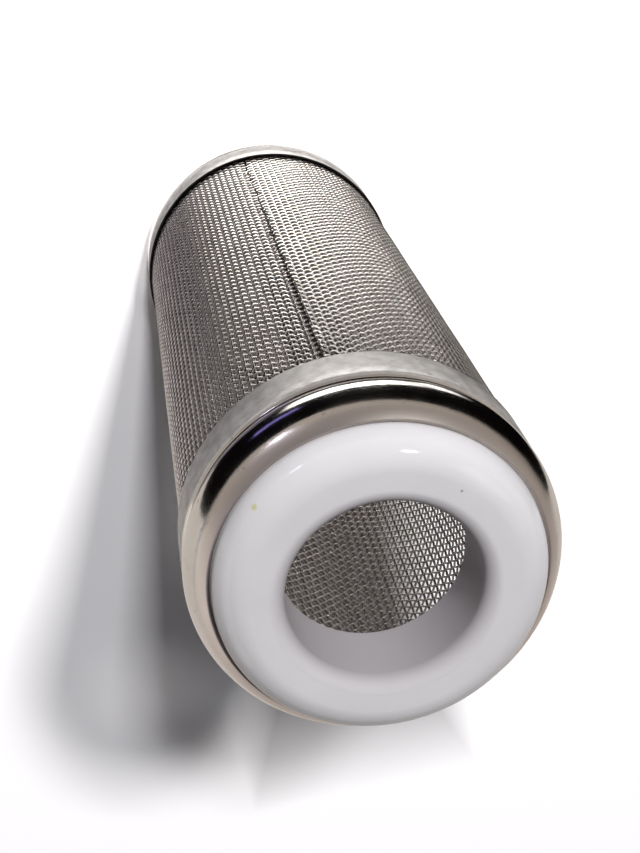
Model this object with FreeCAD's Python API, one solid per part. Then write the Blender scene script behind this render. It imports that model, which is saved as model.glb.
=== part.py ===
"""Mesh intake strainer.

A tube of woven stainless wire cloth closed by a drawn cap at one end.
The other end carries a drawn collar and a white moulded bush with a bore,
which pushes on to the intake pipe of a filter or pump.
Millimetres, +Z up. The strainer stands on its closed cap: the origin is the
middle of the cap's flat end and the bush is at the top.
"""
import FreeCAD, Part
import math
import os

# Drawn cups: the cap and the collar come from the same tool
skirt_radius = 15.75
sheet = 0.25
skirt_length = 4.3
crease_angle = 26.0
bead_radius = 4.0
bead_height = 6.45
lip_angle = 57.5

# Wire cloth sleeve
open_length = 67.7
cloth_thickness = 0.5
columns = 12
rows = 10
warp_width = 2.6
weft_width = 2.2
ridge = 0.2
seam_angle = -95.1
seam_width = 0.35

# Moulded bush
bore_radius = 8.0
bush_back = 5.0
bush_height = 12.5
dome_radius = 2.9
rim_radius = 1.3
back_chamfer = 0.3

# Fits
slip = 0.05
seat = 0.05

# Worked out from the sizes above
bead_centre = skirt_radius - bead_radius
sleeve_radius = skirt_radius - sheet - slip
sleeve_bore = sleeve_radius - cloth_thickness
cap_edge = bead_height + bead_radius
collar_edge = cap_edge + open_length
sleeve_bottom = cap_edge - skirt_length + seat
sleeve_top = collar_edge + skirt_length - seat


def along_z(points, flip, edge):
    """Turn (radius, depth from the open edge) pairs into points of the section."""
    turn = -1 if flip else 1
    return [FreeCAD.Vector(r, 0, edge + turn * depth) for r, depth in points]


def line(start, end):
    return Part.LineSegment(start, end).toShape()


def arc(start, middle, end):
    return Part.Arc(start, middle, end).toShape()


def spin(edges):
    """Revolve a closed section about the strainer's axis."""
    face = Part.Face(Part.Wire(Part.__sortEdges__(edges)))
    solid = face.revolve(FreeCAD.Vector(0, 0, 0), FreeCAD.Vector(0, 0, 1), 360)
    return Part.Solid(solid) if solid.ShapeType == "Shell" else solid


def on_bead(radius, degrees):
    """A point of a roll of this radius, as (radius, depth)."""
    turn = math.radians(degrees)
    return (bead_centre + radius * math.cos(turn), bead_height + radius * math.sin(turn))


def cup_side(inset, last_angle, flip, edge):
    """One skin of the cup from its open edge over the crease and the bead."""
    radius = bead_radius - inset
    points = along_z([
        (skirt_radius - inset, 0),
        (skirt_radius - inset, skirt_length),
        on_bead(radius, -crease_angle),
        on_bead(radius, (last_angle - crease_angle) / 2),
        on_bead(radius, last_angle),
    ], flip, edge)
    edges = [line(points[0], points[1]), line(points[1], points[2]), arc(*points[2:])]
    return edges, points[0], points[-1]


def inlet_collar():
    """Drawn ring: skirt over the cloth, crease, and a bead rolled over to an open lip."""
    outer, outer_edge, outer_lip = cup_side(0, lip_angle, False, collar_edge)
    inner, inner_edge, inner_lip = cup_side(sheet, lip_angle, False, collar_edge)
    ends = [line(outer_edge, inner_edge), line(outer_lip, inner_lip)]
    return spin(outer + inner + ends)


def end_cap():
    """The same cup with its bead carried on to a flat end, which it stands on."""
    outer, outer_edge, outer_end = cup_side(0, 90, True, cap_edge)
    inner, inner_edge, inner_end = cup_side(sheet, 90, True, cap_edge)
    foot = FreeCAD.Vector(0, 0, 0)
    floor = FreeCAD.Vector(0, 0, sheet)
    ends = [line(outer_edge, inner_edge), line(outer_end, foot), line(inner_end, floor), line(foot, floor)]
    return spin(outer + inner + ends)


def inlet_bush():
    """White moulded bush: a body held between the crease and the bead, and a domed head."""
    body = bead_radius - sheet - slip
    head_radius = on_bead(bead_radius - sheet, lip_angle)[0] - slip
    back_angle = math.degrees(math.asin((bush_back - bead_height) / body))
    neck_angle = math.degrees(math.acos((head_radius - bead_centre) / body))
    half = math.sqrt(0.5)
    dome_base = bush_height - dome_radius
    points = along_z([
        (bore_radius, bush_back + back_chamfer),
        (bore_radius + back_chamfer, bush_back),
        on_bead(body, back_angle),
        on_bead(body, (back_angle + neck_angle) / 2),
        on_bead(body, neck_angle),
        (head_radius, dome_base),
        (head_radius - dome_radius * (1 - half), dome_base + dome_radius * half),
        (head_radius - dome_radius, bush_height),
        (bore_radius + rim_radius, bush_height),
        (bore_radius + rim_radius * (1 - half), bush_height - rim_radius * (1 - half)),
        (bore_radius, bush_height - rim_radius),
    ], False, collar_edge)
    section = [line(points[0], points[1]), line(points[1], points[2])]
    section.append(arc(*points[2:5]))
    section.append(line(points[4], points[5]))
    section.append(arc(*points[5:8]))
    section.append(line(points[7], points[8]))
    section.append(arc(*points[8:11]))
    section.append(line(points[10], points[0]))
    return spin(section)


def turned(box, degrees):
    """A box placed on the +X side, turned about the strainer's axis."""
    box.rotate(FreeCAD.Vector(0, 0, 0), FreeCAD.Vector(0, 0, 1), seam_angle + degrees)
    return box


def side_box(inner, outer, width, low, height):
    """A box across the wall on the +X side, between two radii."""
    return Part.makeBox(outer - inner, width, height, FreeCAD.Vector(inner, -width / 2, low))


def tube(inner, outer, low, height):
    foot = FreeCAD.Vector(0, 0, low)
    return Part.makeCylinder(outer, height, foot).cut(Part.makeCylinder(inner, height, foot))


def mesh_sleeve():
    """Wire cloth as one thin wall: a grid of gaps, with upright ridges outside and hoops inside."""
    column_step = 360 / columns
    row_step = open_length / rows
    gap_width = 2 * math.pi * sleeve_radius / columns - warp_width
    gap_height = row_step - weft_width
    inside = sleeve_bore - cloth_thickness
    outside = sleeve_radius + cloth_thickness
    cuts = []
    for column in range(columns):
        middle = (column + 0.5) * column_step
        channel = side_box(sleeve_radius - ridge, outside, gap_width, cap_edge, open_length)
        cuts.append(turned(channel, middle))
        for row in range(rows):
            low = cap_edge + row * row_step + weft_width / 2
            cuts.append(turned(side_box(inside, outside, gap_width, low, gap_height), middle))
    for row in range(rows):
        low = cap_edge + row * row_step + weft_width / 2
        cuts.append(tube(inside, sleeve_bore + ridge, low, gap_height))
    length = sleeve_top - sleeve_bottom
    cuts.append(turned(side_box(sleeve_radius - ridge, outside, seam_width, sleeve_bottom, length), 0))
    wall = tube(sleeve_bore, sleeve_radius, sleeve_bottom, length)
    return wall.cut(Part.makeCompound(cuts)).Solids[0]


os.makedirs("parts", exist_ok=True)
for make in (mesh_sleeve, end_cap, inlet_collar, inlet_bush):
    shape = make()
    name = make.__name__
    shape.exportStep(os.path.join("parts", name + ".step"))
    box = shape.BoundBox
    print(name, "solids", len(shape.Solids), "valid", shape.isValid(),
          "volume", round(shape.Volume, 1), "z", round(box.ZMin, 3), round(box.ZMax, 3))
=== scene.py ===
# %% [markdown]
# # A mesh intake strainer
# This lesson dresses a small strainer: a tube of woven stainless wire with a drawn metal cap at one end,
# and a drawn metal collar with a white moulded bush at the other. The solids come from the frame, and every
# piece made here keeps their place and size. All lengths are in metres.

# %% Load the frame
import math

import bmesh
import bpy
from mathutils import Matrix, Vector


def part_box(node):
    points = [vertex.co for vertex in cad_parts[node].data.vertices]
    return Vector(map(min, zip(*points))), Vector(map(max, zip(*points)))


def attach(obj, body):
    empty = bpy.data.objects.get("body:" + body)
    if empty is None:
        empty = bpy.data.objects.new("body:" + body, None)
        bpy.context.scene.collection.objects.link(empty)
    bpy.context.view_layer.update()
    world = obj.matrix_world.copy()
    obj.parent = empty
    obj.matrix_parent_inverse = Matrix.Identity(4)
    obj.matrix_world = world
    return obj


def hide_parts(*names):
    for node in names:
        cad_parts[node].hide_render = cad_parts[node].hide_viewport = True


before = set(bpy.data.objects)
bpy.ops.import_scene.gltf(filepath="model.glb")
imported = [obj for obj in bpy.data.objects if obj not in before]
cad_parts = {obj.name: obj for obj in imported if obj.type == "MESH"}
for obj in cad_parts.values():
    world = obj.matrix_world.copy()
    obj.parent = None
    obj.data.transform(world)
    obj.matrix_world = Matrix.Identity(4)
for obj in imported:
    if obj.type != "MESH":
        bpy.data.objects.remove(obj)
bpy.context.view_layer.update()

MM = 0.001
scene = bpy.context.scene
scene.view_settings.view_transform = "Standard"

# %% [markdown]
# Three heights rule everything: the open edge of the cap's skirt, the open edge of the collar's skirt and the
# top of the bush. They are read from the boxes of the solids, so the dressed part can't drift away from them.

# %% Heights and radii read from the frame
cap_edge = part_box("end_cap")[1][2]
collar_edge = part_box("inlet_collar")[0][2]
bush_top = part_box("inlet_bush")[1][2]
skirt_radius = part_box("inlet_collar")[1][0]
sleeve_foot, sleeve_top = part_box("mesh_sleeve")[0][2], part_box("mesh_sleeve")[1][2]
sleeve_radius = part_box("mesh_sleeve")[1][0]
print("open cloth", round((collar_edge - cap_edge) / MM, 2), "mm, height", round(bush_top / MM, 2), "mm")

# %% [markdown]
# ## Turned and drawn pieces
# The cap, the collar and the bush are round. A press or a mould gives them their section, so here each one is
# a section spun about the axis. A section is a list of corners, and each corner has its own radius: a pressed
# sheet has no sharp edge, and a small round catches the light where a sharp edge would not.


# %% Round the corners of a section
def rounded(corners, step=7.0):
    """Corners are (radius, height, rounding). Returns the outline with each corner turned into an arc."""
    outline = []
    count = len(corners)
    for i, (r, z, rounding) in enumerate(corners):
        here = Vector((r, z))
        if rounding == 0:
            outline.append(here)
            continue
        before = (Vector(corners[i - 1][:2]) - here).normalized()
        after = (Vector(corners[(i + 1) % count][:2]) - here).normalized()
        half = before.angle(after) / 2
        centre = here + (before + after).normalized() * rounding / math.sin(half)
        start = here + before * rounding / math.tan(half) - centre
        turn = start.angle_signed(here + after * rounding / math.tan(half) - centre)
        pieces = max(2, round(abs(math.degrees(turn)) / step))
        for k in range(pieces + 1):
            angle = -turn * k / pieces
            outline.append(centre + Matrix.Rotation(angle, 2) @ start)
    return outline


# %% Spin a section about the axis
def spun(name, outline, steps=240):
    """A smooth solid of revolution. Where the section runs along the axis, it makes no faces."""
    mesh = bmesh.new()
    rings = []
    for point in outline:
        if point.x < 1e-7:
            rings.append([mesh.verts.new((0, 0, point.y))])
            continue
        ring = []
        for k in range(steps):
            turn = 2 * math.pi * k / steps
            ring.append(mesh.verts.new((point.x * math.cos(turn), point.x * math.sin(turn), point.y)))
        rings.append(ring)
    for low, high in zip(rings, rings[1:] + rings[:1]):
        for k in range(steps):
            n = (k + 1) % steps
            if len(low) == len(high) == 1:
                break
            if len(low) == 1:
                mesh.faces.new((low[0], high[n], high[k]))
            elif len(high) == 1:
                mesh.faces.new((low[k], low[n], high[0]))
            else:
                mesh.faces.new((low[k], low[n], high[n], high[k]))
    bmesh.ops.recalc_face_normals(mesh, faces=mesh.faces)
    data = bpy.data.meshes.new(name)
    mesh.to_mesh(data)
    mesh.free()
    data.shade_smooth()
    piece = bpy.data.objects.new(name, data)
    scene.collection.objects.link(piece)
    print(name, "has", len(data.polygons), "faces from", len(outline), "points")
    return piece


# %% [markdown]
# Both metal ends are drawn with one tool. From its open edge the sheet runs up as a straight skirt over the
# cloth, steps in at a crease and rolls over as a bright bead. On the collar the bead ends at an open lip; on
# the cap it goes on to a flat end. `cup_skin` gives one skin, outer or inner, as a line of points.

# %% The drawn cup's sizes
sheet = 0.25 * MM
skirt_length = 4.3 * MM
crease_angle = 26.0
bead_radius = 4.0 * MM
bead_height = 6.45 * MM
lip_angle = 57.5
bead_centre = skirt_radius - bead_radius


def on_bead(radius, degrees):
    """A point of the roll, as radius and depth from the cup's open edge."""
    turn = math.radians(degrees)
    return bead_centre + radius * math.cos(turn), bead_height + radius * math.sin(turn)


shoulder_round = 0.35 * MM
crease_round = 0.25 * MM
crease_reach = 8
first_angle = crease_reach - crease_angle


def cup_skin(inset, last_angle, edge, up):
    """Skirt, crease and bead of one skin. The two corners beside the crease are softly rounded."""
    radius = bead_radius - inset
    start = on_bead(radius, -crease_angle)
    foot = on_bead(radius, first_angle)
    corners = [(skirt_radius - inset, 0.0, 0.0), (skirt_radius - inset, skirt_length, shoulder_round),
               (start[0], start[1], crease_round), (foot[0], foot[1], 0.0)]
    line = [(p.x, p.y) for p in rounded(corners, 6.0)]
    steps = round((last_angle - first_angle) / 3)
    for k in range(1, steps + 1):
        line.append(on_bead(radius, first_angle + k * (last_angle - first_angle) / steps))
    return [Vector((r, edge + up * depth)) for r, depth in line]


def soft_edge(start, end, share, pieces=4):
    """Rounds a cut edge between two skins: a few points that bulge a little way out."""
    middle = (start + end) / 2
    across = (end - start) / 2
    out = Vector((across.y, -across.x)) * share
    return [middle - across * math.cos(math.pi * k / pieces) + out * math.sin(math.pi * k / pieces)
            for k in range(1, pieces)]


# %% The collar
outer = cup_skin(0, lip_angle, collar_edge, 1)
inner = cup_skin(sheet, lip_angle, collar_edge, 1)
inner.reverse()
collar = spun("collar_ring", outer + soft_edge(outer[-1], inner[0], -0.6) + inner)

# %% The cap
outer = cup_skin(0, 90, cap_edge, -1)
inner = cup_skin(sheet, 90, cap_edge, -1)
inner.reverse()
cap = spun("cap_cup", outer + [Vector((0, 0)), Vector((0, sheet))] + inner)

# %% [markdown]
# ## The white bush
# The bush is one moulding. Its body is held between the crease and the bead, and its domed head stands out of
# the lip. The dome and the soft rim of the bore are two corner radii with a narrow flat between them.

# %% The bush
slip = 0.05 * MM
bore_radius = 8.0 * MM
dome_radius = 2.9 * MM
rim_radius = 1.3 * MM
bush_back = 5.0 * MM
body = bead_radius - sheet - slip
head_radius = on_bead(bead_radius - sheet, lip_angle)[0] - slip
back_angle = math.degrees(math.asin((bush_back - bead_height) / body))
neck_angle = math.degrees(math.acos((head_radius - bead_centre) / body))
side = [on_bead(body, back_angle + (neck_angle - back_angle) * k / 24) for k in range(25)]
bush_corners = [(bore_radius, collar_edge + bush_back, 0.3 * MM)]
bush_corners += [(r, collar_edge + depth, 0) for r, depth in side]
bush_corners += [(head_radius, bush_top, dome_radius), (bore_radius, bush_top, rim_radius)]
bush = spun("bush_moulding", rounded(bush_corners, 3.0))

# %% [markdown]
# ## Woven wire cloth
# In plain weave every wire passes over one crossing wire and under the next. Both families follow one rule:
# at an angle and a height on the tube the cloth's wave is a product of two sines, and the hoops ride on it
# while the lengthwise wires take it with the other sign. A Geometry Nodes tree writes this rule once for each
# family, and lets the count, the pitch and the wire be changed as inputs.

# %% The cloth's sizes
wire = 0.25 * MM
hoop_swing = 0.7 * wire
length_swing = wire - hoop_swing
warp_count = 128
weft_pitch = 0.57 * MM
mean_radius = sleeve_radius - hoop_swing - wire / 2
warp_step = 2 * math.pi / warp_count
weft_count = int((sleeve_top - sleeve_foot - wire) / weft_pitch)
first_weft = (sleeve_top + sleeve_foot - (weft_count - 1) * weft_pitch) / 2
seam_angle = -95.1
seam_turn = math.radians(seam_angle)
seam_shift = 0.45 * weft_pitch
print("cloth:", warp_count, "lengthwise wires", round(mean_radius * warp_step / MM, 3), "mm apart,",
      weft_count, "hoops", round(weft_pitch / MM, 3), "mm apart")

# %% [markdown]
# Node trees are easier to read when a sum of fields looks like a sum. `Fields` wraps a tree and makes math
# nodes from calls, with plain numbers or sockets as arguments.


# %% A small helper for node trees
class Fields:
    """Adds nodes to a tree and joins them up."""

    def __init__(self, name):
        self.tree = bpy.data.node_groups.new(name, "GeometryNodeTree")
        self.tree.interface.new_socket("Geometry", in_out="INPUT", socket_type="NodeSocketGeometry")
        self.tree.interface.new_socket("Geometry", in_out="OUTPUT", socket_type="NodeSocketGeometry")
        self.inputs = self.tree.nodes.new("NodeGroupInput")
        self.outputs = self.tree.nodes.new("NodeGroupOutput")

    def named(self, name, kind, value):
        """A named input of the tree."""
        socket = self.tree.interface.new_socket(name, in_out="INPUT", socket_type="NodeSocket" + kind)
        if value is not None:
            socket.default_value = value
        return self.inputs.outputs[name]

    def node(self, kind, sockets=(), **settings):
        """A node with some of its inputs set or linked, by name or number."""
        made = self.tree.nodes.new(kind)
        for key, value in settings.items():
            setattr(made, key, value)
        for key, value in dict(sockets).items():
            self.join(value, made.inputs[key])
        return made

    def join(self, value, socket):
        if isinstance(value, bpy.types.NodeSocket):
            self.tree.links.new(value, socket)
        else:
            socket.default_value = value

    def math(self, operation, a, b=0.0):
        return self.node("ShaderNodeMath", {0: a, 1: b}, operation=operation).outputs[0]

    def vector(self, x, y, z):
        return self.node("ShaderNodeCombineXYZ", {0: x, 1: y, 2: z}).outputs[0]


# %% [markdown]
# Both families start as straight lines laid out on a board, one line for each wire: a point's distance along
# its wire and the wire's own number are then plain coordinates. One Set Position rolls the board into the
# tube and adds the wave. A second one moves every point by the same soft noise, so that the cloth is a little
# uneven and the wires still cross where they should. The wires have points a quarter pitch each side of a
# crossing, which gives the flat crowns that catch the light. There a sine is at the square root of a half, so
# the swing is divided by that. At the seam each hoop ends where the shears left it: a random number lengthens
# both ends a little, and the seam opens towards the collar.


# %% The tree for one family of wires
def wire_tree(name, hoops):
    f = Fields(name)
    count = f.named("Wires", "Int", 10)
    along = f.named("Crossings", "Int", 10)
    radius = f.named("Mean Radius", "Float", 0.01)
    wire_size = f.named("Wire", "Float", 0.0003)
    swing_out = f.named("Swing", "Float", 0.0001)
    pitch_up = f.named("Pitch", "Float", 0.0007)
    step = f.named("Angle Step", "Float", 0.05)
    first = f.named("First Height", "Float", 0.0)
    start = f.named("Start Angle", "Float", 0.0)
    shift = f.named("Seam Shift", "Float", 0.0)
    full = f.named("Shift Angle", "Float", 6.283)
    ragged = f.named("Ragged Ends", "Float", 0.0)
    flare = f.named("Seam Flare", "Float", 0.0)
    uneven = f.named("Unevenness", "Float", 0.0001)
    sides = f.named("Sides", "Int", 5)
    seed = f.named("Seed", "Float", 0.0)
    finish = f.named("Finish", "Material", None)

    points = f.math("MULTIPLY", along, 2)
    board = f.node("GeometryNodeMeshLine", {"Count": count, "Offset": (0, 1, 0)})
    line = f.node("GeometryNodeCurvePrimitiveLine", {"End": (1, 0, 0)})
    fine = f.node("GeometryNodeResampleCurve", {"Curve": line.outputs[0], "Count": points})
    laid = f.node("GeometryNodeInstanceOnPoints", {"Points": board.outputs[0], "Instance": fine.outputs[0]})
    loose = f.node("GeometryNodeRealizeInstances", {0: laid.outputs[0]})
    place = f.node("ShaderNodeSeparateXYZ", {0: f.node("GeometryNodeInputPosition").outputs[0]})

    run = f.math("MULTIPLY", place.outputs[0], f.math("SUBTRACT", points, 1))
    crossing = f.math("MULTIPLY", f.math("ADD", run, 0.5), 0.5)
    number = f.math("ADD", place.outputs[1], 0.5)
    rises = number if hoops else crossing
    if hoops:
        last = f.math("GREATER_THAN", run, f.math("SUBTRACT", points, 1.5))
        end = f.math("SUBTRACT", last, f.math("LESS_THAN", run, 0.5))
        chance = f.node("ShaderNodeTexWhiteNoise", {"Vector": f.vector(number, end, seed)}).outputs["Value"]
        level = f.math("ADD", first, f.math("MULTIPLY", number, pitch_up))
        reach = f.math("SUBTRACT", f.math("MULTIPLY", chance, ragged), f.math("MULTIPLY", level, flare))
        crossing = f.math("ADD", crossing, f.math("MULTIPLY", end, reach))
    turns = crossing if hoops else number
    wave_round = f.math("SINE", f.math("MULTIPLY", turns, math.pi))
    wave_up = f.math("SINE", f.math("MULTIPLY", rises, math.pi))
    wave = f.math("MULTIPLY", wave_round, wave_up)
    way = 1 if hoops else -1
    swing = f.math("MULTIPLY", wave, f.math("MULTIPLY", swing_out, way * math.sqrt(2)))
    out = f.math("ADD", radius, swing)
    from_start = f.math("MULTIPLY", turns, step)
    angle = f.math("ADD", start, from_start)
    climb = f.math("MULTIPLY", f.math("DIVIDE", from_start, full), shift)
    level_up = f.math("MULTIPLY", f.math("SUBTRACT", rises, 0.5), pitch_up)
    height = f.math("ADD", f.math("ADD", first, level_up), climb)
    rolled_place = f.vector(f.math("MULTIPLY", out, f.math("COSINE", angle)),
                            f.math("MULTIPLY", out, f.math("SINE", angle)), height)
    rolled = f.node("GeometryNodeSetPosition", {"Geometry": loose.outputs[0], "Position": rolled_place})

    noise = f.node("ShaderNodeTexNoise", {"Scale": 150.0, "Detail": 1.0, "W": seed}, noise_dimensions="4D")
    centred = f.node("ShaderNodeVectorMath", {0: noise.outputs["Color"], 1: (0.5, 0.5, 0.5)},
                     operation="SUBTRACT")
    push = f.node("ShaderNodeVectorMath", {0: centred.outputs[0], "Scale": uneven}, operation="SCALE")
    moved = f.node("GeometryNodeSetPosition", {"Geometry": rolled.outputs[0], "Offset": push.outputs[0]})

    section = f.node("GeometryNodeCurvePrimitiveCircle",
                     {"Resolution": sides, "Radius": f.math("MULTIPLY", wire_size, 0.5)})
    drawn = f.node("GeometryNodeCurveToMesh", {"Curve": moved.outputs[0], "Profile Curve": section.outputs[0],
                                               "Fill Caps": True})
    smooth = f.node("GeometryNodeSetShadeSmooth", {"Geometry": drawn.outputs[0]})
    real = f.node("GeometryNodeRealizeInstances", {0: smooth.outputs[0]})
    dressed = f.node("GeometryNodeSetMaterial", {"Geometry": real.outputs[0], "Material": finish})
    f.join(dressed.outputs[0], f.outputs.inputs[0])
    return f.tree


hoop_tree = wire_tree("hoop_wires", True)
length_tree = wire_tree("lengthwise_wires", False)


# %% Grow a piece of cloth from a tree
def grow(name, tree, values):
    """Runs a tree with these inputs and keeps the result as a plain mesh."""
    seed_mesh = bpy.data.meshes.new(name)
    carrier = bpy.data.objects.new(name + "_carrier", seed_mesh)
    scene.collection.objects.link(carrier)
    modifier = carrier.modifiers.new("cloth", "NODES")
    modifier.node_group = tree
    for item in tree.interface.items_tree:
        if item.item_type == "SOCKET" and item.in_out == "INPUT" and item.name in values:
            modifier[item.identifier] = values[item.name]
    view = bpy.context.evaluated_depsgraph_get()
    data = bpy.data.meshes.new_from_object(carrier.evaluated_get(view), depsgraph=view)
    carrier.modifiers.remove(modifier)
    bpy.data.objects.remove(carrier)
    data.name = name
    piece = bpy.data.objects.new(name, data)
    scene.collection.objects.link(piece)
    triangles = sum(len(face.vertices) - 2 for face in data.polygons)
    print(name, "has", triangles, "triangles")
    return piece


# %% [markdown]
# ## Finishes
# The metal is one alloy in three states: drawn wire, a skirt dulled by the rolling tool, and a bead polished
# by it. Each material reads Object coordinates, which are the same as the frame's because every piece sits at
# the origin.


# %% A helper for shaders
class Shader:
    """A material with its principled shader and short ways to add nodes."""

    def __init__(self, name, **plain):
        self.material = bpy.data.materials.new(name)
        self.material.use_nodes = True
        self.nodes = self.material.node_tree.nodes
        self.links = self.material.node_tree.links
        self.surface = self.nodes["Principled BSDF"]
        for key, value in plain.items():
            self.surface.inputs[key.replace("_", " ")].default_value = value
        self.place = self.nodes.new("ShaderNodeTexCoord").outputs["Object"]

    def node(self, kind, sockets=(), **settings):
        made = self.nodes.new(kind)
        for key, value in settings.items():
            setattr(made, key, value)
        for key, value in dict(sockets).items():
            self.join(value, made.inputs[key])
        return made

    def join(self, value, socket):
        if isinstance(value, bpy.types.NodeSocket):
            self.links.new(value, socket)
        else:
            socket.default_value = value

    def set(self, name, value):
        self.join(value, self.surface.inputs[name])

    def noise(self, scale, detail=2.0):
        """A soft noise between 0 and 1, with its scale in cycles per metre."""
        made = self.node("ShaderNodeTexNoise", {"Vector": self.place, "Scale": scale, "Detail": detail})
        return made.outputs["Fac"]

    def remap(self, value, low, high, to_low, to_high):
        return self.node("ShaderNodeMapRange", {"Value": value, "From Min": low, "From Max": high,
                                                "To Min": to_low, "To Max": to_high}).outputs[0]

    def math(self, operation, a, b=0.0):
        return self.node("ShaderNodeMath", {0: a, 1: b}, operation=operation).outputs[0]

    def blend(self, share, first, second):
        mix = self.node("ShaderNodeMix", data_type="RGBA")
        self.join(share, mix.inputs["Factor"])
        self.join(first, mix.inputs[6])
        self.join(second, mix.inputs[7])
        return mix.outputs[2]

    def bump(self, height, distance, strength):
        made = self.node("ShaderNodeBump", {"Height": height, "Distance": distance, "Strength": strength})
        self.join(made.outputs[0], self.surface.inputs["Normal"])


# %% Wire
def wire_finish(name, dark, light):
    """Drawn wire, a little uneven in tone, and painted shade where the cloth goes into the cap."""
    s = Shader(name, Metallic=1.0)
    tone = s.remap(s.noise(900.0, 3.0), 0.3, 0.7, 0.0, 1.0)
    height = s.node("ShaderNodeSeparateXYZ", {0: s.place}).outputs[2]
    # Painted shade: the wire is near black up to half a millimetre above the cap's edge and fades out by 2.3
    # mm.
    painted_crevice_shade = s.remap(height, cap_edge + 0.5 * MM, cap_edge + 2.3 * MM, 1.0, 0.0)
    s.set("Base Color", s.blend(painted_crevice_shade, s.blend(tone, dark, light), (0.015, 0.013, 0.012, 1)))
    s.set("Roughness", s.remap(s.noise(2500.0), 0.3, 0.7, 0.17, 0.27))
    return s.material


# %% Drawn sheet
dull_depth = on_bead(bead_radius, 38)[1]


def sheet_finish(name, edge, up):
    """Satin on the skirt, bright on the bead and dull where the lip was rolled in.

    edge is the height of the skirt's open edge, and up is the way from there to the bead.
    """
    s = Shader(name)
    split = s.node("ShaderNodeSeparateXYZ", {0: s.place})
    depth = s.math("MULTIPLY", s.math("SUBTRACT", split.outputs[2], edge), up)
    bright = s.remap(depth, skirt_length - 0.1 * MM, skirt_length + 0.25 * MM, 0.0, 1.0)
    # Painted shade: the skirt's open edge and a sliver of sheet beside it are near black, standing in for the
    # dark gap between the skirt and the cloth.
    painted_edge_shade = s.remap(depth, 0.01 * MM, 0.06 * MM, 1.0, 0.0)
    smudge = s.remap(s.noise(260.0, 5.0), 0.35, 0.65, 0.0, 1.0)
    mottle = s.remap(s.noise(900.0, 6.0), 0.35, 0.62, 0.0, 1.0)
    satin = s.blend(mottle, (0.42, 0.40, 0.385, 1), (0.60, 0.58, 0.565, 1))
    polished = s.blend(smudge, (0.76, 0.73, 0.69, 1), (0.82, 0.80, 0.77, 1))
    specks = s.remap(s.noise(1500.0, 1.0), 0.24, 0.30, 1.0, 0.0)
    sound = s.blend(bright, satin, polished)
    worn = s.blend(s.math("MULTIPLY", specks, 0.5), sound, (0.25, 0.23, 0.21, 1))
    dull = s.remap(depth, dull_depth - 0.35 * MM, dull_depth + 0.35 * MM, 0.0, 1.0)
    rolled = s.blend(dull, worn, (0.76, 0.69, 0.64, 1))
    s.set("Base Color", s.blend(painted_edge_shade, rolled, (0.012, 0.010, 0.010, 1)))
    rough_satin = s.remap(s.noise(1200.0, 4.0), 0.3, 0.7, 0.40, 0.55)
    rough_bright = s.math("ADD", s.remap(smudge, 0.0, 1.0, 0.10, 0.17), s.math("MULTIPLY", dull, 0.28))
    mix = s.node("ShaderNodeMix", {"Factor": bright, 2: rough_satin, 3: rough_bright})
    s.set("Roughness", mix.outputs[0])
    s.set("Metallic", s.remap(bright, 0.0, 1.0, 0.45, 1.0))
    s.bump(s.noise(1800.0, 4.0), 0.02 * MM, 0.25)
    return s.material


# %% White plastic
speck_place = (7.33 * MM, -10.87 * MM, 89.54 * MM)
pit_place = (-7.97 * MM, -6.84 * MM, 90.65 * MM)


def plastic_finish():
    """Glossy white, a little clouded, with a yellow-green speck, painted shade in the bore and a bore made
    rough by the pipe.
    """
    s = Shader("white_moulding", Subsurface_Weight=0.15, Subsurface_Scale=0.001)
    s.surface.inputs["Subsurface Radius"].default_value = (1.0, 0.9, 0.85)
    cloud = s.remap(s.noise(120.0, 3.0), 0.3, 0.7, 0.0, 1.0)
    white = s.blend(cloud, (0.64, 0.63, 0.65, 1), (0.68, 0.67, 0.69, 1))
    split = s.node("ShaderNodeSeparateXYZ", {0: s.place})
    flat = s.node("ShaderNodeCombineXYZ", {0: split.outputs[0], 1: split.outputs[1]}).outputs[0]
    from_axis = s.node("ShaderNodeVectorMath", {0: flat}, operation="LENGTH").outputs["Value"]
    # Painted shade: the bore's wall is greyed, fading out over the rim onto the face.
    bore_shade_mask = s.remap(from_axis, bore_radius + 0.05 * MM, bore_radius + 1.4 * MM, 1.0, 0.0)
    bore_shaded = s.blend(bore_shade_mask, white, (0.42, 0.40, 0.42, 1))
    away = s.node("ShaderNodeVectorMath", {0: s.place, 1: speck_place}, operation="DISTANCE").outputs["Value"]
    speck = s.remap(away, 0.12 * MM, 0.35 * MM, 0.8, 0.0)
    specked = s.blend(speck, bore_shaded, (0.50, 0.50, 0.20, 1))
    near = s.node("ShaderNodeVectorMath", {0: s.place, 1: pit_place}, operation="DISTANCE").outputs["Value"]
    pit = s.remap(near, 0.06 * MM, 0.16 * MM, 0.7, 0.0)
    s.set("Base Color", s.blend(pit, specked, (0.20, 0.19, 0.19, 1)))
    s.set("Roughness", s.remap(from_axis, bore_radius + 0.8 * MM, bore_radius + 1.6 * MM, 0.5, 0.07))
    s.bump(s.noise(700.0, 2.0), 0.01 * MM, 0.1)
    return s.material


hoop_metal = wire_finish("hoop_wire", (0.62, 0.59, 0.56, 1), (0.82, 0.79, 0.76, 1))
# Painted shade: the lap is the same drawn wire as the hoops, painted much darker for the shade behind the
# seam.
shaded_lap_metal = wire_finish("lap_wire", (0.10, 0.09, 0.09, 1), (0.17, 0.155, 0.15, 1))
# Painted shade: the lengthwise wires are the same drawn wire as the hoops, painted much darker for their
# shaded, dark reflections.
shaded_length_metal = wire_finish("lengthwise_wire", (0.16, 0.145, 0.14, 1), (0.26, 0.24, 0.235, 1))
collar.data.materials.append(sheet_finish("collar_sheet", collar_edge, 1))
cap.data.materials.append(sheet_finish("cap_sheet", cap_edge, -1))
bush.data.materials.append(plastic_finish())
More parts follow.
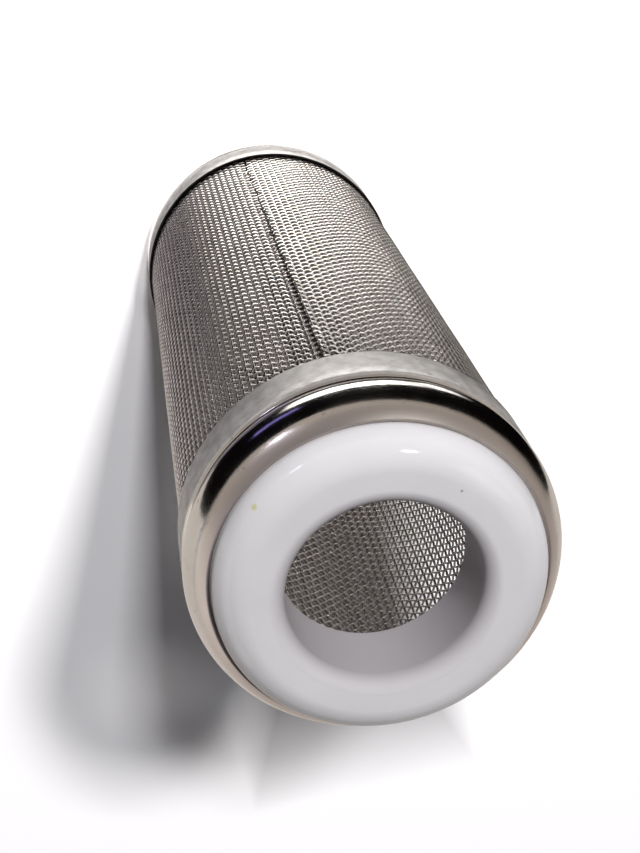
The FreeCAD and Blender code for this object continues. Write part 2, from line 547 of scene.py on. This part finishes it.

# %% [markdown]
# ## Weaving
# The tube is woven as one cloth with its two side edges at the seam. It is grown in several bands, because
# one mesh with every wire would be too heavy to open. Behind the seam lies the lap: a narrow strip of the
# same cloth, one layer further in, with painted shade that makes it darker.

# %% Weave the tube and its lap
cloth = {
    "Mean Radius": mean_radius, "Wire": wire, "Pitch": weft_pitch, "Angle Step": warp_step,
    "Start Angle": seam_turn, "First Height": first_weft, "Seam Shift": seam_shift,
    "Shift Angle": 2 * math.pi, "Swing": hoop_swing, "Ragged Ends": 0.35, "Seam Flare": 4.5,
    "Unevenness": 0.07 * MM, "Sides": 6, "Seed": 3.0, "Finish": hoop_metal,
}
lengthwise = {"Swing": length_swing, "Sides": 5, "Finish": shaded_length_metal}
weave = []
bands = 3
for band in range(bands):
    low = 2 * (weft_count * band // bands // 2)
    high = 2 * (weft_count * (band + 1) // bands // 2)
    values = dict(cloth, Wires=high - low, Crossings=warp_count)
    values["First Height"] = first_weft + low * weft_pitch
    weave.append(grow("hoop_wires_%d" % (band + 1), hoop_tree, values))
for band in range(bands):
    low = 2 * (warp_count * band // bands // 2)
    high = 2 * (warp_count * (band + 1) // bands // 2)
    values = dict(cloth, Wires=high - low, Crossings=weft_count, **lengthwise)
    values["Start Angle"] = seam_turn + low * warp_step
    values["First Height"] = first_weft + seam_shift * low / warp_count
    weave.append(grow("lengthwise_wires_%d" % (band + 1), length_tree, values))

# %% The lap behind the seam
lap_wires = 8
off_centre = 0.3
lap = dict(cloth, Seed=9.0, Finish=shaded_lap_metal)
lap["Mean Radius"] = mean_radius - 2 * wire
lap["Start Angle"] = seam_turn - (lap_wires / 2 + off_centre) * warp_step
weave.append(grow("lap_hoops", hoop_tree, dict(lap, Wires=weft_count, Crossings=lap_wires)))
lap_values = dict(lap, Wires=lap_wires, Crossings=weft_count, Swing=length_swing, Sides=5)
weave.append(grow("lap_lengthwise", length_tree, lap_values))

# %% [markdown]
# ## Placing every piece
# All pieces ride on the one body. Each new piece stands for the solid with the same job.

for piece in weave:
    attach(piece, "root")
    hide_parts("mesh_sleeve")
for piece, node, slot_name in ((cap, "end_cap", "cap_metal"), (collar, "inlet_collar", "collar_metal"),
                               (bush, "inlet_bush", "white_plastic")):
    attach(piece, "root")
    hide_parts(node)

# %% [markdown]
# ## Floor, light and camera
# The strainer stands on a pale floor, a wide round sheet of paper just under it. The camera looks down on the
# bush's mouth and is turned over, so that the bush is at the foot of the picture. The paper is whiter to the
# camera and to the metal than to the lamps: the background is then white with no more light on the object.


# %% Floor
def seen_by_camera_and_gloss(s):
    """1 for a camera, glossy or transmission ray, 0 for the diffuse light that the object gets."""
    path = s.node("ShaderNodeLightPath")
    both = s.math("MAXIMUM", path.outputs["Is Camera Ray"], path.outputs["Is Glossy Ray"])
    return s.math("MAXIMUM", both, path.outputs["Is Transmission Ray"])


shade_turn = math.radians(82.0)
shade_half_width, shade_edge = 9.0 * MM, 19.0 * MM
shade_end, shade_fade = 70.0 * MM, 95.0 * MM
shade_start, shade_full = 2.0 * MM, 12.0 * MM


def paper_finish():
    """White paper. The camera and the metal see it a little whiter than it lights the object.

    They also see a soft strip of shade behind the strainer. The photographed one lies on its side, so that
    the floor seen through its cloth is in its own shadow.
    """
    s = Shader("pale_paper", Roughness=0.8)
    s.surface.inputs["Specular IOR Level"].default_value = 0.0
    way = (math.cos(shade_turn), math.sin(shade_turn), 0.0)
    side = (-math.sin(shade_turn), math.cos(shade_turn), 0.0)
    along = s.node("ShaderNodeVectorMath", {0: s.place, 1: way}, operation="DOT_PRODUCT").outputs["Value"]
    across = s.node("ShaderNodeVectorMath", {0: s.place, 1: side}, operation="DOT_PRODUCT").outputs["Value"]
    beside = s.remap(s.math("ABSOLUTE", across), shade_half_width, shade_edge, 0.0, 1.0)
    beyond = s.remap(along, shade_end, shade_fade, 0.0, 1.0)
    before = s.remap(along, shade_full, shade_start, 0.0, 1.0)
    lit = s.math("MAXIMUM", s.math("MAXIMUM", beside, beyond), before)
    seen = s.blend(lit, (0.10, 0.09, 0.09, 1), (1.42, 1.41, 1.43, 1))
    s.set("Base Color", s.blend(seen_by_camera_and_gloss(s), (0.90, 0.90, 0.91, 1), seen))
    return s.material


floor_radius = 3.0
floor_drop = 0.02 * MM
floor_steps = 96
rim = []
for k in range(floor_steps):
    angle = 2 * math.pi * k / floor_steps
    rim.append((floor_radius * math.cos(angle), floor_radius * math.sin(angle), -floor_drop))
floor_mesh = bpy.data.meshes.new("floor")
floor_mesh.from_pydata([(0, 0, -floor_drop)] + rim, [],
                       [(0, 1 + k, 1 + (k + 1) % floor_steps) for k in range(floor_steps)])
floor = bpy.data.objects.new("floor", floor_mesh)
scene.collection.objects.link(floor)
floor.data.materials.append(paper_finish())
print("floor", 2 * floor_radius, "m across")

# %% [markdown]
# Polished metal shows only what stands round it. A studio lays black card about the subject and leaves
# windows of white paper. Here the cards lie or stand on the floor and only reflections see them. A ring close
# to the strainer keeps the lengthwise wires dark. A wide black fan in front gives the bead its black band, and
# a beige one behind lights its far side. A bright strip on the black fan, on the side of the lamps, gives the
# bead its white streak, and a violet one its coloured glint. A low bright screen that stands beside the strip
# lights the crowns of the cloth, so that the weave sparkles.


# %% Helpers for cards that only reflections see
on_floor = 0.2 * MM
on_cards = 0.4 * MM


def reflections_only(made):
    """Hides a card from the camera and from the light on the object."""
    for ray in ("camera", "diffuse", "shadow", "transmission", "volume_scatter"):
        setattr(made, "visible_" + ray, False)


def curved_card(name, edges, start, end, material):
    """A card between two arcs about the axis, each given as (radius, height), over azimuths in degrees."""
    steps = round((end - start) / 3)
    verts, faces = [], []
    for k in range(steps + 1):
        turn = math.radians(start + (end - start) * k / steps)
        verts += [(radius * math.cos(turn), radius * math.sin(turn), height) for radius, height in edges]
    for k in range(steps):
        faces.append((2 * k, 2 * k + 1, 2 * k + 3, 2 * k + 2))
    data = bpy.data.meshes.new(name)
    data.from_pydata(verts, [], faces)
    data.materials.append(material)
    made = bpy.data.objects.new(name, data)
    scene.collection.objects.link(made)
    reflections_only(made)


def fan(name, near, far, start, end, height, material):
    """A flat card on the floor between two radii in metres."""
    curved_card(name, ((near, height), (far, height)), start, end, material)


def screen(name, radius, start, end, height, material):
    """An upright card that stands on the floor."""
    curved_card(name, ((radius, on_cards), (radius, height)), start, end, material)


def glowing(name, colour, strength):
    """A card of one colour that gives its own light and mirrors nothing."""
    s = Shader(name, Base_Color=(0, 0, 0, 1), Specular_IOR_Level=0.0)
    s.surface.inputs["Emission Color"].default_value = colour
    s.surface.inputs["Emission Strength"].default_value = strength
    return s.material


def near_card_finish():
    """Black in front, and a dim violet on the side where the object's shadow lies."""
    s = Shader("near_card", Base_Color=(0, 0, 0, 1), Specular_IOR_Level=0.0)
    across = s.node("ShaderNodeSeparateXYZ", {0: s.place}).outputs[0]
    share = s.remap(across, 0.004, 0.030, 0.0, 1.0)
    s.set("Emission Color", s.blend(share, (0.020, 0.015, 0.015, 1), (0.17, 0.15, 0.19, 1)))
    s.surface.inputs["Emission Strength"].default_value = 1.0
    return s.material


def fading_glow(name, first, second, third, fourth, strength):
    """A warm white that rises between the first two azimuths and falls between the last two."""
    s = Shader(name, Base_Color=(0, 0, 0, 1), Specular_IOR_Level=0.0)
    split = s.node("ShaderNodeSeparateXYZ", {0: s.place})
    azimuth = s.math("ARCTAN2", split.outputs[1], split.outputs[0])
    s.surface.inputs["Emission Color"].default_value = (1.0, 0.98, 0.94, 1)
    rise = s.remap(azimuth, math.radians(first), math.radians(second), 0.0, strength)
    fall = s.remap(azimuth, math.radians(third), math.radians(fourth), strength, 0.0)
    s.set("Emission Strength", s.math("MINIMUM", rise, fall))
    return s.material


# %% Lay the cards
near_edge = 0.046
black = glowing("black_card", (0.002, 0.0015, 0.0015, 1), 1.0)
beige = glowing("beige_card", (0.60, 0.55, 0.51, 1), 1.0)
violet = glowing("violet_glow", (0.35, 0.30, 0.85, 1), 0.8)
fan("near_card", 0.022, near_edge, -180, 180, on_floor, near_card_finish())
fan("front_card", near_edge, 2.800, -206, -16, on_floor, black)
fan("back_card", near_edge, 0.420, -16, 154, on_floor, beige)
fan("streak_strip", 0.048, 0.074, -172, -98, on_cards, fading_glow("streak_glow", -98, -118, -150, -172, 3.6))
screen("weave_screen", near_edge, -148, -70, 0.044, fading_glow("weave_glow", -70, -92, -118, -148, 5.6))
fan("violet_strip", 0.112, 0.134, -80, -56, on_cards, violet)


# %% [markdown]
# Some cards hang in the air. Each one faces the strainer from an azimuth and an elevation, as the lamps do.
# Two small bright ones make the glints on the bush. The larger ones are dim, and shade the collar's bead and
# lip from beige on one side to a cool grey on the other.


# %% Reflectors
def direction(azimuth, elevation):
    flat, high = math.radians(azimuth), math.radians(elevation)
    return Vector((math.cos(flat) * math.cos(high), math.sin(flat) * math.cos(high), math.sin(high)))


def reflector(name, azimuth, elevation, distance, size, colour, strength):
    """A glowing card that only reflections see, facing the object from a direction in degrees."""
    toward = direction(azimuth, elevation)
    centre = Vector((0, 0, 0.06))
    half_wide, half_tall = size[0] / 2, size[1] / 2
    mesh = bpy.data.meshes.new(name)
    mesh.from_pydata([(-half_wide, -half_tall, 0), (half_wide, -half_tall, 0), (half_wide, half_tall, 0),
                      (-half_wide, half_tall, 0)], [], [(0, 1, 2, 3)])
    made = bpy.data.objects.new(name, mesh)
    facing = toward.to_track_quat("Z", "Y").to_matrix().to_4x4()
    made.matrix_world = Matrix.Translation(centre + toward * distance) @ facing
    scene.collection.objects.link(made)
    made.data.materials.append(glowing(name, colour, strength))
    reflections_only(made)


reflector("glint_card", -134, 47, 0.55, (0.06, 0.05), (1, 1, 1, 1), 20.0)
reflector("left_glint", -67, 13, 0.40, (0.05, 0.03), (0.8, 0.8, 1.0, 1), 10.0)
reflector("beige_wall", 15, 14, 0.50, (0.50, 0.24), (1, 0.94, 0.87, 1), 0.95)
reflector("right_card", 176, 46, 0.40, (0.16, 0.16), (1, 0.98, 0.95, 1), 1.0)
reflector("left_card", 14, 45, 0.40, (0.30, 0.22), (0.80, 0.73, 1.0, 1), 0.42)


# %% [markdown]
# Two small lamps stand side by side above the front. Both shadows fall behind the strainer and to its left in
# the picture, and where they overlap the shadow is darkest. Reflections don't see the lamps.


# %% Lamps
def softbox(name, azimuth, elevation, distance, size, level, colour):
    """A square lamp. level is the share of full white that it gives a white sheet facing it."""
    toward = direction(azimuth, elevation)
    centre = Vector((0, 0, 0.05))
    data = bpy.data.lights.new(name, "AREA")
    data.size = size
    data.energy = level * math.pi * math.pi * distance * distance
    data.color = colour
    lamp = bpy.data.objects.new(name, data)
    lamp.location = centre + toward * distance
    lamp.rotation_euler = toward.to_track_quat("Z", "Y").to_euler()
    lamp.visible_glossy = False
    scene.collection.objects.link(lamp)


softbox("main_lamp", -123, 51, 0.90, 0.08, 0.68, (1.0, 0.985, 0.97))
softbox("second_lamp", -110, 51, 0.90, 0.07, 0.40, (0.97, 0.97, 1.0))

# %% [markdown]
# The room is a dim ceiling over warm pale walls. The walls give the lip of the collar its beige band. The
# metal sees the room a little brighter than it lights the object, as it sees the floor.

# %% World
world = bpy.data.worlds.new("room")
scene.world = world
world.use_nodes = True
room = world.node_tree
toward_sky = room.nodes.new("ShaderNodeSeparateXYZ")
room.links.new(room.nodes.new("ShaderNodeTexCoord").outputs["Generated"], toward_sky.inputs[0])


def walls_and_ceiling(wall, ceiling):
    ramp = room.nodes.new("ShaderNodeValToRGB")
    room.links.new(toward_sky.outputs["Z"], ramp.inputs["Fac"])
    ramp.color_ramp.elements[0].position = 0.20
    ramp.color_ramp.elements[0].color = wall
    ramp.color_ramp.elements[1].position = 0.45
    ramp.color_ramp.elements[1].color = ceiling
    return ramp.outputs["Color"]


lighting = walls_and_ceiling((0.30, 0.28, 0.26, 1), (0.035, 0.035, 0.04, 1))
mirrored = walls_and_ceiling((0.46, 0.41, 0.37, 1), (0.21, 0.20, 0.20, 1))
chosen = room.nodes.new("ShaderNodeMix")
chosen.data_type = "RGBA"
room.links.new(room.nodes.new("ShaderNodeLightPath").outputs["Is Glossy Ray"], chosen.inputs["Factor"])
room.links.new(lighting, chosen.inputs[6])
room.links.new(mirrored, chosen.inputs[7])
room.links.new(chosen.outputs[2], room.nodes["Background"].inputs["Color"])
room.nodes["Background"].inputs["Strength"].default_value = 1.0

# %% [markdown]
# The camera's place and turn come from the rims of the two metal ends in the picture. `look` is the way it
# faces, and `picture_up` is the way that the top of the picture points.

# %% Camera
eye = Vector((0.61, -60.89, 182.70)) * MM
look = Vector((0.0, 0.43857, -0.89870))
picture_up = Vector((-0.33017, -0.8483, -0.41398))
long_side = 853
focal_pixels = 1397.4
sensor = 36.0
lens_data = bpy.data.cameras.new("camera")
lens_data.sensor_width = sensor
lens_data.lens = focal_pixels / long_side * sensor
lens_data.clip_start = 0.005
print("lens", round(lens_data.lens, 1), "mm,", round(eye.length / MM), "mm from the cap's foot")
camera = bpy.data.objects.new("camera", lens_data)
back = -look.normalized()
right = picture_up.cross(back).normalized()
up = back.cross(right)
turn = Matrix((right, up, back)).transposed()
camera.matrix_world = Matrix.Translation(eye) @ turn.to_4x4()
scene.collection.objects.link(camera)
scene.camera = camera
